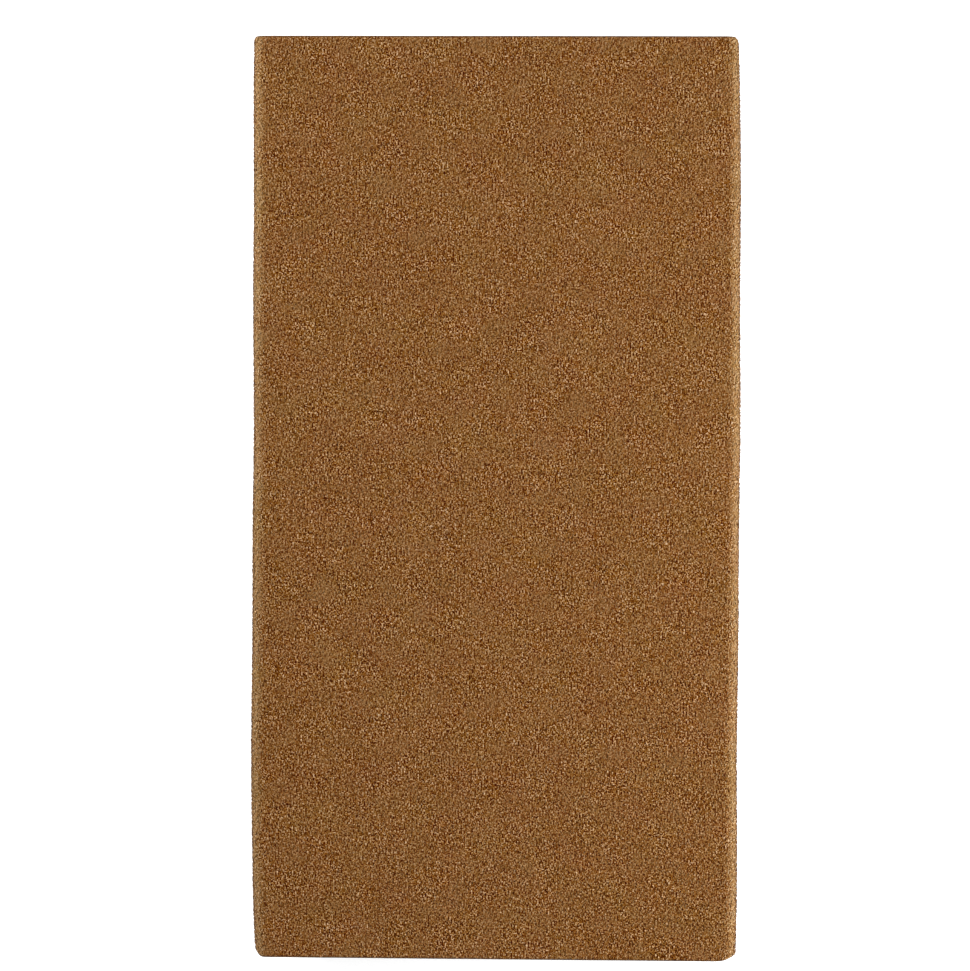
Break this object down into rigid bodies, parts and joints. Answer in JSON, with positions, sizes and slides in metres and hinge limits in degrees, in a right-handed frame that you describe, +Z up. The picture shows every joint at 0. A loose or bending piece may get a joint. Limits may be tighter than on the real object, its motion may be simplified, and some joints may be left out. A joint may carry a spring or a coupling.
{
  "type": "sanding block",
  "caption": "Rectangular foam sanding block, lying flat: a sponge core with brown abrasive grit bonded to its broad faces and long edges, and bare foam at its cut ends.",
  "frame": {"origin": "middle of the block's underside, on the surface that it lies on", "axes": "+Y along the block's length, towards one cut foam end; +X across its width; +Z up through its thickness, out of the upper broad face"},
  "size_m": [0.0636, 0.12, 0.025],
  "materials": {
    "foam": "open-cell charcoal foam, fully matt",
    "resin_film": "dark brown cured resin, slightly glossy",
    "abrasive_grit": "brown aluminium oxide grains, rough and speckled"
  },
  "bodies": {
    "root": {"foam_core": "foam", "top_resin_film": "resin_film", "bottom_resin_film": "resin_film", "left_resin_film": "resin_film", "right_resin_film": "resin_film", "top_grit_coat": "abrasive_grit", "bottom_grit_coat": "abrasive_grit", "left_grit_coat": "abrasive_grit", "right_grit_coat": "abrasive_grit"}
  },
  "joints": []
}
